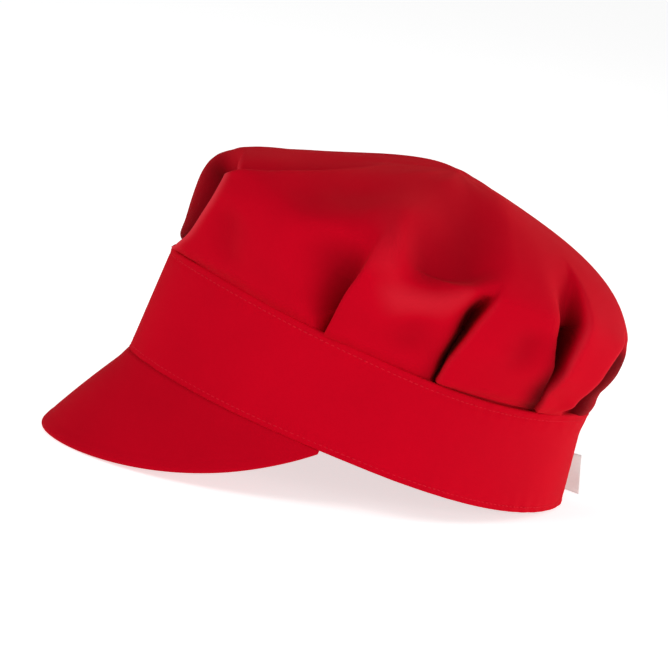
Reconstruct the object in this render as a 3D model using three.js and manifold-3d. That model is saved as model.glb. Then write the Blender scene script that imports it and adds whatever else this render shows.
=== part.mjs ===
// Chef hat: a soft pleated crown in an upright head band, with a short peak in front and a bare
// woven tab at the centre back. Millimetres, +Z up. The front of the hat looks along -Y and the
// wearer's left is +X. The hat is drawn level, with the band's lower rim in the plane Z = 0, and
// is then tipped back as a whole, so that it rests on the tip of its peak and the back of its rim.
//
// phi is the angle round the hat: 0 at the centre front, 90 degrees at the wearer's left.
// t runs up the crown: 0 at its hidden lower edge, 1 at its highest point.

import * as THREE from 'three';
import { mergeVertices } from 'three/addons/utils/BufferGeometryUtils.js';
import Module from 'manifold-3d';

// Driving dimensions
const RIM = { length: 210, width: 172 };          // outside of the band at its lower edge
const BAND_TOP = { length: 201.8, width: 165.2, shift: -2.1 };
const BAND = { height: 45.5, wall: 2.4, squareness: 1.72 };
const CROWN = { wall: 2.0, stretch: 115, crease: 3.6 };
const PEAK = { halfAngle: 68, depth: 51.2, slope: 59.6, wall: 3, tipWall: 1.2, tipDepth: 1.5, crown: 2.5 };
const TAB = { height: 17, reach: 9, topReach: 6.3, thickness: 1.2, bottom: 6 };
const GAP = 0.35;                                 // left between pieces that are sewn together
const FLATTENED = 1.0;                            // cloth pressed flat where the hat rests

// Heights of the band's two edges round the hat, as sums of cosines of 0, 1, 2, 3 and 4 turns.
const LOW_EDGE = [0.36, 0.01, 1.09, -0.88, 0.59];
const HIGH_EDGE = [45.88, 2.90, 1.69, -0.43, 0.27];
// The band stands out a little either side of the centre back: at this angle, over this spread.
const FLARE = { at: 158, spread: 22, low: 0.8, high: 2.2 };

// Mesh fineness
const CROWN_COLUMNS = 108;
const CROWN_ROWS = [0.02, 0.052, 0.076, 0.1, 0.13, 0.17, 0.21, 0.26, 0.31, 0.36, 0.405, 0.45, 0.495,
  0.54, 0.585, 0.63, 0.68, 0.74, 0.81, 0.88, 0.95];
const BAND_COLUMNS = 96;
const PEAK_COLUMNS = 48;
const PEAK_STEPS = 6;

// The crown without its folds, one row per level. Front, back and side each give how far out the
// cloth is, in Y or X, and how high. centre is the level's middle in Y, and squareness its corners.
const LEVEL_COLUMNS = ['t', 'frontY', 'frontZ', 'backY', 'backZ', 'sideX', 'sideZ', 'centre', 'squareness'];
const LEVELS = table(LEVEL_COLUMNS, [
  [0.00, -98.8, 41.5, 94.4, 37.0, 78.4, 36.2, -2.2, 1.72],
  [0.06, -100.1, 50.2, 95.8, 45.4, 79.6, 44.6, -2.2, 1.72],
  [0.14, -101.4, 56.3, 98.3, 52.1, 84.0, 50.5, -2.0, 1.9],
  [0.30, -102.2, 76.3, 102.4, 68.9, 92.6, 69.3, -1.0, 2.1],
  [0.48, -97.1, 93.4, 98.8, 85.5, 91.9, 87.0, 0.0, 2.2],
  [0.62, -83.5, 100.9, 86.2, 100.2, 79.7, 99.9, 0.0, 2.2],
  [0.76, -58.7, 107.9, 63.3, 111.5, 56.2, 111.9, 1.0, 2.1],
  [0.90, -24.7, 118.2, 27.9, 120.9, 24.7, 123.4, 2.0, 2.0],
  [1.00, 3.0, 125.6, 3.0, 125.6, 0.01, 125.6, 3.0, 2.0],
]);

// The pleats, one row each. A pleat is a line over the cloth from (phi0, t0) to (phi1, t1), bent
// sideways by bow. The cloth steps across it: sunk by depth on one side and raised by lip on the
// other. side is 1 where the sunk side looks to the front. sunk and raised are the half widths of
// the two sides at the line's start (0) and end (1); power is how square the sunk side's edge is.
// grow and fade are the shares of its length over which the pleat grows and dies away.
const PLEAT_COLUMNS = ['side', 'phi0', 't0', 'phi1', 't1', 'bow', 'depth', 'lip', 'sunk0', 'raised0',
  'sunk1', 'raised1', 'power', 'grow', 'fade'];
const SIDE_PLEATS = table(PLEAT_COLUMNS, [
  [1, 57, 0.02, 63, 0.6, 2.5, 11, 2, 0, 9, 40, 12, 2, 0.08, 0.5],          // wide soft pocket
  [1, 96, 0.02, 99, 0.57, -4, 14, 1.2, 4, 12, 10, 12, 2, 0.08, 0.4],       // narrow deep slot
  [1, 138, 0.02, 137, 0.74, -19, 14, 2, 2, 12, 18, 12, 2, 0.08, 0.4],      // opens upward
  [-1, 146, 0.12, 157, 0.51, -16, 13, 2, 10, 10, 13, 12, 2, 0.2, 0.3],     // near the back
]);
const FRONT_PLEATS = table(PLEAT_COLUMNS, [
  [1, -4, 0.02, -11.5, 0.6, 38, 14, 3, 20, 16, 28, 20, 2, 0.08, 0.25],     // the panel folded over
  [1, 14, 0.42, 7, 0.88, 13, 6, 1.5, 20, 12, 20, 12, 2, 0.15, 0.35],       // crease along the top
]);

// The soft folds, one row each, along a line as above: the cloth is lifted across it by lift, or
// sunk where lift is negative, over the half widths a (towards the front) and b (towards the back).
const SOFT_COLUMNS = ['phi0', 't0', 'phi1', 't1', 'bow', 'lift', 'a0', 'b0', 'a1', 'b1', 'grow', 'fade'];
const SOFT_FOLDS = table(SOFT_COLUMNS, [
  [67, 0.36, 67, 0.86, 0, 4.5, 8, 8, 12, 12, 0.2, 0.4],       // ridge that runs up from the first pleat
  [66, 0.32, 98, 0.55, 5, 3, 9, 9, 9, 10, 0.2, 0.3],           // swag below the hollow
  [69, 0.45, 104, 0.69, 3, -7.5, 20, 8, 38, 9, 0.28, 0.28],    // hollow above the swag
  [112, 0.18, 112, 0.46, 0, -2, 8, 8, 8, 8, 0.4, 0.4],
  [36, 0.34, 60, 0.58, 0, 2, 9, 9, 9, 9, 0.35, 0.4],
  [30, 0.52, 60, 0.78, 0, -2.5, 16, 16, 16, 16, 0.35, 0.35],
  [23, 0.12, 25, 0.38, 0, -2, 7, 7, 7, 7, 0.4, 0.4],
]);
const FAR_SHIFT = 2;
const PLEATS = [...SIDE_PLEATS, ...FRONT_PLEATS, ...SIDE_PLEATS.map(onFarSide)];
const SUNK_FROM = [0.055, 0.12];                  // t over which the sunk sides start
const RAISED_FROM = [0.06, 0.125];                // t over which the raised sides and folds start
const SEAM_ROLL = { out: 2.2, rise: [0.076, 0.115], fall: [0.12, 0.24] };  // cloth rolls out above the band

const wasm = await Module();
wasm.setup();

/** Turns rows of numbers into objects with the named columns. */
function table(columns, rows) {
  return rows.map(row => Object.fromEntries(columns.map((name, i) => [name, row[i]])));
}

/** The same pleat on the other side of the hat, mirrored and a little further round. */
function onFarSide(pleat) {
  const turned = { phi0: -pleat.phi0 - FAR_SHIFT, phi1: -pleat.phi1 - FAR_SHIFT };
  return { ...pleat, ...turned, side: -pleat.side, bow: -pleat.bow };
}

/** Plan radius of a rounded oval with half width x and half length y, at the angle phi. */
function ovalRadius(phi, x, y, squareness) {
  const across = Math.abs(Math.sin(phi) / x) ** squareness;
  const along = Math.abs(Math.cos(phi) / y) ** squareness;
  return (across + along) ** (-1 / squareness);
}

/** A value of the levels table at any t: a cubic through the rows that never overshoots them. */
function levelAt(t, column) {
  const last = LEVELS.length - 2;
  const i = Math.min(last, Math.max(0, LEVELS.findIndex(level => level.t > t) - 1));
  const k = t >= LEVELS[last + 1].t ? last : i;
  const step = j => LEVELS[j + 1].t - LEVELS[j].t;
  const slope = j => (LEVELS[j + 1][column] - LEVELS[j][column]) / step(j);
  const tangent = j => {
    if (j === 0) return slope(0);
    if (j === last + 1) return slope(last);
    const [before, after] = [slope(j - 1), slope(j)];
    if (before * after <= 0) return 0;
    const mean = (step(j) * before + step(j - 1) * after) / (step(j) + step(j - 1));
    return Math.sign(mean) * Math.min(Math.abs(mean), 3 * Math.min(Math.abs(before), Math.abs(after)));
  };
  const h = step(k);
  const u = (t - LEVELS[k].t) / h;
  const [v0, v1, m0, m1] = [LEVELS[k][column], LEVELS[k + 1][column], tangent(k), tangent(k + 1)];
  return v0 * (1 + 2 * u) * (1 - u) ** 2 + v1 * u * u * (3 - 2 * u)
    + m0 * h * u * (1 - u) ** 2 - m1 * h * u * u * (1 - u);
}

/** A point of the crown without folds. */
function plainPoint(phi, t) {
  const at = column => levelAt(t, column);
  const inFront = Math.cos(phi) > 0;
  const reach = inFront ? at('centre') - at('frontY') : at('backY') - at('centre');
  const radius = ovalRadius(phi, at('sideX'), reach, at('squareness'));
  const endZ = inFront ? at('frontZ') : at('backZ');
  const z = at('sideZ') + (endZ - at('sideZ')) * Math.cos(phi) ** 2;
  return new THREE.Vector3(radius * Math.sin(phi), at('centre') - radius * Math.cos(phi), z);
}

/** The outward direction of the crown without folds. */
function plainNormal(phi, t) {
  const d = 1e-3;
  const round = plainPoint(phi + d, t).sub(plainPoint(phi - d, t));
  const up = plainPoint(phi, Math.min(1, t + d)).sub(plainPoint(phi, t - d));
  return round.cross(up).normalize();
}

/** The end of a fold's line seen from its start, in mm over the cloth, and its length. */
function reachOf(fold) {
  const x = levelAt(fold.t1, 'sideX') * THREE.MathUtils.degToRad(fold.phi1 - fold.phi0);
  const y = CROWN.stretch * (fold.t1 - fold.t0);
  return { x, y, length: Math.hypot(x, y) };
}

/** Where (phi, t) lies along a fold's line (u, 0 to 1) and across it (v), and the fold's strength there. */
function across(fold, phi, t) {
  const turn = THREE.MathUtils.radToDeg(phi) - fold.phi0;
  const x = levelAt(t, 'sideX') * THREE.MathUtils.degToRad(turn - 360 * Math.round(turn / 360));
  const y = CROWN.stretch * (t - fold.t0);
  const end = reachOf(fold);
  const u = (x * end.x + y * end.y) / end.length ** 2;
  const v = (x * end.y - y * end.x) / end.length - 4 * fold.bow * u * (1 - u);
  const grown = THREE.MathUtils.smoothstep(u, 0, fold.grow);
  const left = 1 - THREE.MathUtils.smoothstep(u, 1 - fold.fade, 1);
  return { u, v, strength: u > 0 && u < 1 ? grown * left : 0 };
}

/** How far a soft fold lifts the cloth. */
function softLift(fold, phi, t) {
  const { u, v, strength } = across(fold, phi, t);
  const [start, end] = v < 0 ? [fold.a0, fold.a1] : [fold.b0, fold.b1];
  return fold.lift * strength * Math.exp(-((v / (start + (end - start) * u)) ** 2));
}

/** How far a pleat lifts the cloth: a step across its line that dies away on both sides. */
function pleatLift(pleat, phi, t) {
  const { u, v, strength } = across(pleat, phi, t);
  if (strength === 0) return 0;
  const over = v * pleat.side;
  const [start, end] = over < 0 ? [pleat.sunk0, pleat.sunk1] : [pleat.raised0, pleat.raised1];
  const width = Math.max(1.5, start + (end - start) * u);
  const step = (1 + Math.tanh(over / CROWN.crease)) / 2;
  const sunk = pleat.depth * (1 - step) * THREE.MathUtils.smoothstep(t, ...SUNK_FROM);
  const raised = pleat.lip * step * THREE.MathUtils.smoothstep(t, ...RAISED_FROM);
  return (raised - sunk) * strength * Math.exp(-(Math.abs(over / width) ** (over < 0 ? pleat.power : 2)));
}

/** A point of the folded cloth, `depth` below its outer face. */
function clothPoint(phi, t, depth) {
  const started = THREE.MathUtils.smoothstep(t, ...RAISED_FROM);
  const soft = started * SOFT_FOLDS.reduce((sum, fold) => sum + softLift(fold, phi, t), 0);
  const roll = SEAM_ROLL.out * THREE.MathUtils.smoothstep(t, ...SEAM_ROLL.rise)
    * (1 - THREE.MathUtils.smoothstep(t, ...SEAM_ROLL.fall));
  const lift = PLEATS.reduce((sum, pleat) => sum + pleatLift(pleat, phi, t), soft + roll);
  return plainPoint(phi, t).addScaledVector(plainNormal(phi, t), lift - depth);
}

/** Angle of a fold's line at t, in degrees. Beyond its ends the line keeps its end angle. */
function lineAngle(fold, t) {
  const end = reachOf(fold);
  const points = Array.from({ length: 41 }, (_, i) => {
    const u = i / 40;
    const aside = 4 * fold.bow * u * (1 - u);
    const at = fold.t0 + (u * end.y - (aside * end.x) / end.length) / CROWN.stretch;
    const x = u * end.x + (aside * end.y) / end.length;
    return { at, angle: fold.phi0 + THREE.MathUtils.radToDeg(x / levelAt(at, 'sideX')) };
  });
  return between(points, t, 'angle');
}

/** A value between the two points of a list on either side of `at`. */
function between(points, at, key) {
  const k = points.findIndex(point => point.at > at);
  if (k < 0) return points[points.length - 1][key];
  if (k === 0) return points[0][key];
  const share = (at - points[k - 1].at) / (points[k].at - points[k - 1].at);
  return THREE.MathUtils.lerp(points[k - 1][key], points[k][key], share);
}

// The pleats that start at the band lead the crown's columns; the centre back stays where it is.
const LEADING = PLEATS.filter(pleat => pleat.t0 < 0.05).sort((p, q) => p.phi0 - q.phi0);

/** How far a column that starts at the angle `start` has leant at t, in degrees. Above t = 0.4 it stays. */
function leanAt(t) {
  const low = Math.min(t, 0.4);
  const knots = LEADING.map(pleat => ({ at: pleat.phi0, lean: lineAngle(pleat, low) - pleat.phi0 }));
  const all = [{ at: -180, lean: 0 }, ...knots, { at: 180, lean: 0 }];
  return start => between(all, start, 'lean');
}

/** Angle at the band of the column that meets the middle of a fold's line. */
function startOf(fold) {
  const t = (fold.t0 + fold.t1) / 2;
  const [lean, wanted] = [leanAt(t), lineAngle(fold, t)];
  const starts = Array.from({ length: 721 }, (_, i) => -180 + i / 2);
  const miss = starts.map(start => Math.abs(start + lean(start) - wanted));
  return starts[miss.indexOf(Math.min(...miss))];
}

/** Angles of the crown's columns at the band, crowded beside the pleats, in degrees. */
function columnStarts() {
  const crowded = PLEATS.map(startOf);
  const apart = (a, b) => Math.abs(((((a - b + 180) % 360) + 360) % 360) - 180);
  const density = angle => 1 + 4 * crowded.reduce((sum, c) => sum + Math.exp(-((apart(angle, c) / 4) ** 2)), 0);
  const fine = Array.from({ length: 3600 }, (_, i) => -180 + i / 10);
  const total = fine.reduce((sum, angle) => sum + density(angle), 0);
  const starts = [];
  let filled = 0;
  for (const angle of fine) {
    filled += density(angle) / total;
    if (filled * CROWN_COLUMNS > starts.length + 0.5) starts.push(angle);
  }
  return starts;
}

/**
 * A closed skin over rings of equal count, each four-sided face split along its shorter diagonal.
 * The rings join end to end, or each end is closed to a point.
 */
function skin(rings, poles) {
  const n = rings[0].length;
  const points = rings.flat();
  const faces = [];
  const joins = poles ? rings.length - 1 : rings.length;
  for (let r = 0; r < joins; r++) {
    const next = (r + 1) % rings.length;
    for (let i = 0; i < n; i++) {
      const j = (i + 1) % n;
      const [a, b, c, d] = [r * n + i, r * n + j, next * n + j, next * n + i];
      const across = points[a].distanceTo(points[c]) <= points[b].distanceTo(points[d]);
      faces.push(...(across ? [[a, b, c], [a, c, d]] : [[a, b, d], [b, c, d]]));
    }
  }
  if (poles) {
    const [first, last] = [points.length, points.length + 1];
    points.push(...poles);
    for (let i = 0; i < n; i++) {
      const j = (i + 1) % n;
      faces.push([first, j, i], [last, (rings.length - 1) * n + i, (rings.length - 1) * n + j]);
    }
  }
  return facingOut(points, faces);
}

/** An indexed geometry whose faces point outward, whichever way its rings were given. */
function facingOut(points, faces) {
  const volume = faces.reduce((sum, [a, b, c]) =>
    sum + points[a].dot(new THREE.Vector3().crossVectors(points[b], points[c])), 0);
  const outward = volume > 0 ? faces : faces.map(([a, b, c]) => [a, c, b]);
  const geometry = new THREE.BufferGeometry().setFromPoints(points);
  geometry.setIndex(outward.flat());
  return geometry;
}

/** The solid that a closed geometry bounds. */
function solidOf(geometry) {
  const bare = geometry.clone();
  bare.deleteAttribute('normal');
  bare.deleteAttribute('uv');
  const merged = mergeVertices(bare);
  return new wasm.Manifold(new wasm.Mesh({
    numProp: 3,
    vertProperties: new Float32Array(merged.attributes.position.array),
    triVerts: new Uint32Array(merged.index.array),
  }));
}

/** The geometry of a solid. */
function geometryOf(solid) {
  const { vertProperties, triVerts } = solid.getMesh();
  const geometry = new THREE.BufferGeometry();
  geometry.setAttribute('position', new THREE.BufferAttribute(vertProperties, 3));
  geometry.setIndex(new THREE.BufferAttribute(triVerts, 1));
  return geometry;
}

/** Height of one of the band's edges at phi. */
function edgeZ(edge, phi) {
  return edge.reduce((sum, size, turns) => sum + size * Math.cos(turns * phi), 0);
}

/** How far the band stands out either side of the centre back, most at its upper edge. */
function backFlare(phi, s) {
  const turn = THREE.MathUtils.radToDeg(phi);
  const apart = Math.abs(turn - 360 * Math.round(turn / 360)) - FLARE.at;
  const size = FLARE.low + FLARE.high * THREE.MathUtils.smoothstep(s, 0.7, 1);
  return size * Math.exp(-((apart / FLARE.spread) ** 2));
}

/** A point of the band at the share s of its height, `depth` inside its outer face. */
function bandPoint(phi, s, depth) {
  const mix = THREE.MathUtils.lerp;
  const inward = depth - backFlare(phi, s);
  const x = mix(RIM.width, BAND_TOP.width, s) / 2 - inward;
  const y = mix(RIM.length, BAND_TOP.length, s) / 2 - inward;
  const radius = ovalRadius(phi, x, y, BAND.squareness);
  const z = mix(edgeZ(LOW_EDGE, phi), edgeZ(HIGH_EDGE, phi), s);
  return new THREE.Vector3(radius * Math.sin(phi), s * BAND_TOP.shift - radius * Math.cos(phi), z);
}

/** Equal angles all the way round. */
function roundTheHat(count) {
  return Array.from({ length: count }, (_, i) => (2 * Math.PI * i) / count);
}

/** The band: one upright wall, a little narrower at the top. */
function bandGeometry() {
  const around = roundTheHat(BAND_COLUMNS);
  const corners = [[0, 0], [0.5, 0], [1, 0], [1, BAND.wall], [0.5, BAND.wall], [0, BAND.wall]];
  return skin(corners.map(([s, depth]) => around.map(phi => bandPoint(phi, s, depth))));
}

/** The crown: an outer and an inner skin over the same folds, joined along the hidden lower edge. */
function crownGeometry() {
  const starts = columnStarts();
  const ring = (t, depth) => {
    const lean = leanAt(t);
    return starts.map(start => clothPoint(THREE.MathUtils.degToRad(start + lean(start)), t, depth));
  };
  const outside = [...CROWN_ROWS].reverse().map(t => ring(t, 0));
  const inside = CROWN_ROWS.map(t => ring(t, CROWN.wall));
  const apex = plainPoint(0, 1);
  const under = apex.clone().setZ(apex.z - CROWN.wall);
  return skin([...outside, ...inside], [apex, under]);
}

/** One section of the peak, across its wall from the seam out to the edge and back underneath. */
function peakSection(share) {
  const angle = THREE.MathUtils.degToRad(PEAK.halfAngle * share);
  const seam = bandPoint(angle, 0, BAND.wall / 2).setZ(edgeZ(LOW_EDGE, angle) - GAP);
  const tangent = bandPoint(angle + 1e-3, 0, 0).sub(bandPoint(angle - 1e-3, 0, 0)).setZ(0).normalize();
  const out = new THREE.Vector3(tangent.y, -tangent.x, 0);
  const slope = THREE.MathUtils.degToRad(PEAK.slope + 1.7 * share * share);
  const down = out.clone().multiplyScalar(Math.cos(slope)).setZ(-Math.sin(slope));
  const up = out.clone().multiplyScalar(Math.sin(slope)).setZ(Math.cos(slope));
  const depth = PEAK.tipDepth + (PEAK.depth - PEAK.tipDepth) * (1 - Math.abs(share) ** 1.76) ** 0.98;
  const fullness = depth / PEAK.depth;
  const wall = PEAK.tipWall + (PEAK.wall - PEAK.tipWall) * Math.min(1, 2 * fullness);
  const at = (s, sink) => seam.clone().addScaledVector(down, s * depth)
    .addScaledVector(up, 4 * PEAK.crown * fullness * s * (1 - s) - sink);
  const steps = Array.from({ length: PEAK_STEPS + 1 }, (_, i) => i / PEAK_STEPS);
  return [...steps.map(s => at(s, 0)), ...steps.reverse().map(s => at(s, wall))];
}

/** The peak: sections side by side along the seam, closed at both tips. */
function peakGeometry() {
  const shares = Array.from({ length: PEAK_COLUMNS + 1 }, (_, i) => (2 * i) / PEAK_COLUMNS - 1);
  const sections = shares.map(peakSection);
  const middle = ring => ring.reduce((sum, p) => sum.add(p), new THREE.Vector3()).divideScalar(ring.length);
  return skin(sections, [middle(sections[0]), middle(sections[PEAK_COLUMNS])]);
}

/** The woven tab: a bare folded strip that stands out of the band at the centre back. */
function tabGeometry() {
  const backY = z => bandPoint(Math.PI, z / BAND.height, 0).y + GAP;
  const [low, high] = [TAB.bottom, TAB.bottom + TAB.height];
  const outline = new THREE.Shape([
    new THREE.Vector2(backY(low), low),
    new THREE.Vector2(backY(low) + TAB.reach, low),
    new THREE.Vector2(backY(high) + TAB.topReach, high),
    new THREE.Vector2(backY(high), high),
  ]);
  const strip = new THREE.ExtrudeGeometry(outline, { depth: TAB.thickness, bevelEnabled: false });
  const upright = new THREE.Matrix4().makeBasis(
    new THREE.Vector3(0, 1, 0), new THREE.Vector3(0, 0, 1), new THREE.Vector3(1, 0, 0));
  return strip.translate(0, 0, -TAB.thickness / 2).applyMatrix4(upright);
}

/** Lowest height of a geometry once the hat is tipped back by `tilt`. */
function lowest(geometry, tilt) {
  const p = geometry.attributes.position;
  let low = Infinity;
  for (let i = 0; i < p.count; i++) {
    low = Math.min(low, p.getZ(i) * Math.cos(tilt) - p.getY(i) * Math.sin(tilt));
  }
  return low;
}

/** The tilt at which the peak and the back of the rim touch the same level surface. */
function restingTilt(peak, band) {
  let [flat, steep] = [0, Math.PI / 6];
  for (let i = 0; i < 50; i++) {
    const tilt = (flat + steep) / 2;
    if (lowest(peak, tilt) < lowest(band, tilt)) flat = tilt;
    else steep = tilt;
  }
  return (flat + steep) / 2;
}

/** Cuts off what lies below the resting surface, as cloth pressed flat by the hat's weight. */
function flattened(geometry, tilt, floorZ) {
  const slab = new THREE.BoxGeometry(400, 400, 40).translate(0, 0, floorZ - 20).rotateX(tilt);
  return geometryOf(solidOf(geometry).subtract(solidOf(slab)));
}

const cloth = new THREE.MeshStandardMaterial({ name: 'red_cloth', color: 0xc20519, roughness: 0.85, metalness: 0 });
const peakCloth = new THREE.MeshStandardMaterial({ name: 'peak_cloth', color: 0xb80418, roughness: 0.8, metalness: 0 });
const woven = new THREE.MeshStandardMaterial({ name: 'white_tape', color: 0xf2f0ea, roughness: 0.7, metalness: 0 });

/** A named mesh. */
function piece(name, geometry, material) {
  const flat = geometry.index ? geometry.toNonIndexed() : geometry.clone();
  flat.computeVertexNormals();
  const mesh = new THREE.Mesh(flat, material);
  mesh.name = name;
  return mesh;
}

const bandShape = bandGeometry();
const peakShape = peakGeometry();
const tilt = restingTilt(peakShape, bandShape);
const floorZ = lowest(bandShape, tilt) + FLATTENED;

const hat = new THREE.Group();
hat.add(piece('crown', crownGeometry(), cloth));
hat.add(piece('band', flattened(bandShape, tilt, floorZ), cloth));
hat.add(piece('peak', flattened(peakShape, tilt, floorZ), peakCloth));
hat.add(piece('label_tab', tabGeometry(), woven));
hat.rotation.x = -tilt;
hat.updateMatrixWorld(true);

// The tipped hat stands on Z = 0 with the middle of its outline on the Z axis.
const box = new THREE.Box3().setFromObject(hat, true);
hat.position.set(-(box.min.x + box.max.x) / 2, -(box.min.y + box.max.y) / 2, -floorZ);

const chefHat = new THREE.Group();
chefHat.add(hat);

export default chefHat;
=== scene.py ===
# %% [markdown]
# A soft chef hat: a pleated crown of red cloth, an upright band, a short peak and a bare white tab.
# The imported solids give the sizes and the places. They are loaded first and never moved. Everything
# that shows is then modelled again as fine cloth, over the same named sizes, in the same place.

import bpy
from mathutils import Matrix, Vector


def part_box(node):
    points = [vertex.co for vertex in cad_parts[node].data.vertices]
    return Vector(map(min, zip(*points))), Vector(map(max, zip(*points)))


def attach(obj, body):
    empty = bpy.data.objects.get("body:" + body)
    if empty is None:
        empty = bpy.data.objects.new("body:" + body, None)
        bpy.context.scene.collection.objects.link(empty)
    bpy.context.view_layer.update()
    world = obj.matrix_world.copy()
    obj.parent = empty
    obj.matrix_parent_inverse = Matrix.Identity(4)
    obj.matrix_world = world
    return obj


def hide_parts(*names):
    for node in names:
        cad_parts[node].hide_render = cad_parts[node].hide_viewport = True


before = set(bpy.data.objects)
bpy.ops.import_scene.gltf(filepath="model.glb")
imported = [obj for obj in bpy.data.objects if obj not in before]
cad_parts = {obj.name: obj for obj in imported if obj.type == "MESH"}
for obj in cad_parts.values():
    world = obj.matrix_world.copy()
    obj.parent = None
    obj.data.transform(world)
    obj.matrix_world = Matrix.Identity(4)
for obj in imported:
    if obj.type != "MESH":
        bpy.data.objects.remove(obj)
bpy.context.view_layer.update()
print("nodes", sorted(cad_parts))

# %% [markdown]
# A hat could be pushed into shape with sculpting tools or left to a cloth simulation. Here every
# surface is a function worked out with numpy instead, because the photograph shows one certain set of
# folds at certain places, and named numbers put each fold exactly there.

import bpy
import numpy as np
from mathutils import Matrix, Vector

MM = 0.001
FULL_TURN = 2.0 * np.pi
UPWARD = np.array([0.0, 0.0, 1.0])
TINY = 1e-9

# %% [markdown]
# The hat is drawn level first, in millimetres: the lower rim of the band lies in the plane z = 0,
# the peak looks along -y, and the wearer's left is +x. The angle phi is 0 at the centre front and
# 90 degrees at the wearer's left. Later the whole hat is tipped back, because a hat like this rests
# on the edge of its peak and the back of its rim. The sizes below were fitted to the photograph. The
# oval is a superellipse, a little more pointed at its ends than an ellipse. LOW_EDGE and HIGH_EDGE
# hold what cosines of 0, 1, 2, 3 and 4 whole turns add to the height of the band's two edges.

# %% Driving sizes
RIM_HALF_LENGTH, RIM_HALF_WIDTH = 105.0, 86.0
TOP_HALF_LENGTH, TOP_HALF_WIDTH, TOP_SHIFT = 100.9, 82.6, -2.1
BAND_HEIGHT, BAND_WALL, BAND_EDGE = 45.5, 2.2, 0.7
OVAL_POWER = 1.72
LOW_EDGE = (0.36, 0.01, 1.09, -0.88, 0.59)
HIGH_EDGE = (45.88, 2.90, 1.69, -0.43, 0.27)
FLARE_AT, FLARE_SPREAD, FLARE_FROM, FLARE_LOW, FLARE_HIGH, FLARE_RISE = 158.0, 22.0, 0.7, 0.8, 2.2, 2.0
PEAK_HALF_ANGLE, PEAK_DEPTH, PEAK_SLOPE, PEAK_WALL = 68.0, 51.2, 59.6, 2.8


def smooth(x, low, high):
    """0 below low, 1 above high, and an S-shaped curve between them."""
    u = np.clip((x - low) / (high - low), 0.0, 1.0)
    return u * u * (3.0 - 2.0 * u)


def bell(x, width):
    """1 at x = 0, falling to about a third at one width: exp of minus the square."""
    return np.exp(-((x / width) ** 2))


def between(first, last, share):
    """The value that lies at this share of the way from the first to the last."""
    return first + (last - first) * share


def oval_radius(phi, half_x, half_y, power):
    """Plan radius of a superellipse: (|sin/half_x|^power + |cos/half_y|^power)^(-1/power)."""
    across = np.abs(np.sin(phi) / half_x) ** power
    along = np.abs(np.cos(phi) / np.maximum(half_y, TINY)) ** power
    return (across + along) ** (-1.0 / power)


def unit(vectors):
    """Each vector divided by its own length."""
    return vectors / np.maximum(np.linalg.norm(vectors, axis=-1, keepdims=True), 1e-12)


print("rim", 2 * RIM_HALF_LENGTH, "x", 2 * RIM_HALF_WIDTH, "mm, band", BAND_HEIGHT, "mm high")

# %% [markdown]
# The band is a slightly tapering oval wall. Its surface is a function of two numbers: phi round the
# hat and s up the wall, from 0 at the rim to 1 at the upper edge. Depth is how far inside the outer
# face a point lies. Small waves, the grooves that the stitches pull and the puckers beside them are
# added to the depth, so that the wall is cloth and not sheet metal. They are part of the shape and
# not of the material, so that they catch the light at the edge of the band too.

# %% The band's surface
STITCH_PITCH = 2.6
TOP_STITCH_DROP, LOW_STITCH_RISE = 3.2, 2.4
STITCH_LINE_RADIUS = 92.0
GROOVE_WIDTH, GROOVE_DEPTH, STITCH_PULL = 0.7, 0.22, 0.12
PUCKERS = {"count": 6, "turns": (30, 75), "height": 90.0, "amplitude": 0.12, "seed": 21}
PUCKER_REACH, LINES_APART = 5.0, 1.0
LONG_WAVES = {"count": 7, "turns": (2, 9), "height": 120.0, "amplitude": 0.45, "seed": 3}
TOP_SWELL, TOP_SWELL_AT, TOP_SWELL_WIDTH = 0.25, 1.7, 1.3
LOW_SWELL, LOW_SWELL_AT, LOW_SWELL_WIDTH = 0.2, 1.4, 1.2


def waves(phi, z, count, turns, height, amplitude, seed):
    """Soft unevenness: a sum of cosines with seeded phases. Each has a whole number of turns round
    the hat, drawn between the two of turns, and at most one turn in each height up it."""
    draw = np.random.default_rng(seed)
    total = np.zeros(np.broadcast(phi, z).shape)
    for _ in range(count):
        round_turns = draw.integers(turns[0], turns[1])
        up_turns = draw.uniform(-1.0, 1.0) / height
        total += np.cos(round_turns * phi + FULL_TURN * (up_turns * z + draw.uniform()))
    return amplitude * total / np.sqrt(count)


def beside_back(phi):
    """1 either side of the centre back, where the band stands out and up a little, and 0 elsewhere."""
    apart = np.abs((phi / FULL_TURN + 0.5) % 1.0 - 0.5) * 360.0 - FLARE_AT
    return bell(apart, FLARE_SPREAD)


def band_heights(phi):
    """Height of the lower and of the upper edge at phi: a short sum of cosines of whole turns. The
    upper edge also rises a little beside the centre back."""
    low, high = (sum(c * np.cos(k * phi) for k, c in enumerate(edge)) for edge in (LOW_EDGE, HIGH_EDGE))
    return low, high + FLARE_RISE * beside_back(phi)


def back_flare(phi, s):
    """How far the wall stands out either side of the centre back, most at its upper edge."""
    return (FLARE_LOW + FLARE_HIGH * smooth(s, FLARE_FROM, 1.0)) * beside_back(phi)


def band_point(phi, s, depth=0.0):
    """Plain wall: the rim's oval and the upper oval mixed by s, with the flare, taken in by depth."""
    low, high = band_heights(phi)
    depth = depth - back_flare(phi, s)
    half_x = between(RIM_HALF_WIDTH, TOP_HALF_WIDTH, s) - depth
    half_y = between(RIM_HALF_LENGTH, TOP_HALF_LENGTH, s) - depth
    radius = oval_radius(phi, half_x, half_y, OVAL_POWER)
    y = TOP_SHIFT * s - radius * np.cos(phi)
    return np.stack([radius * np.sin(phi), y, between(low, high, s)], axis=-1)


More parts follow.
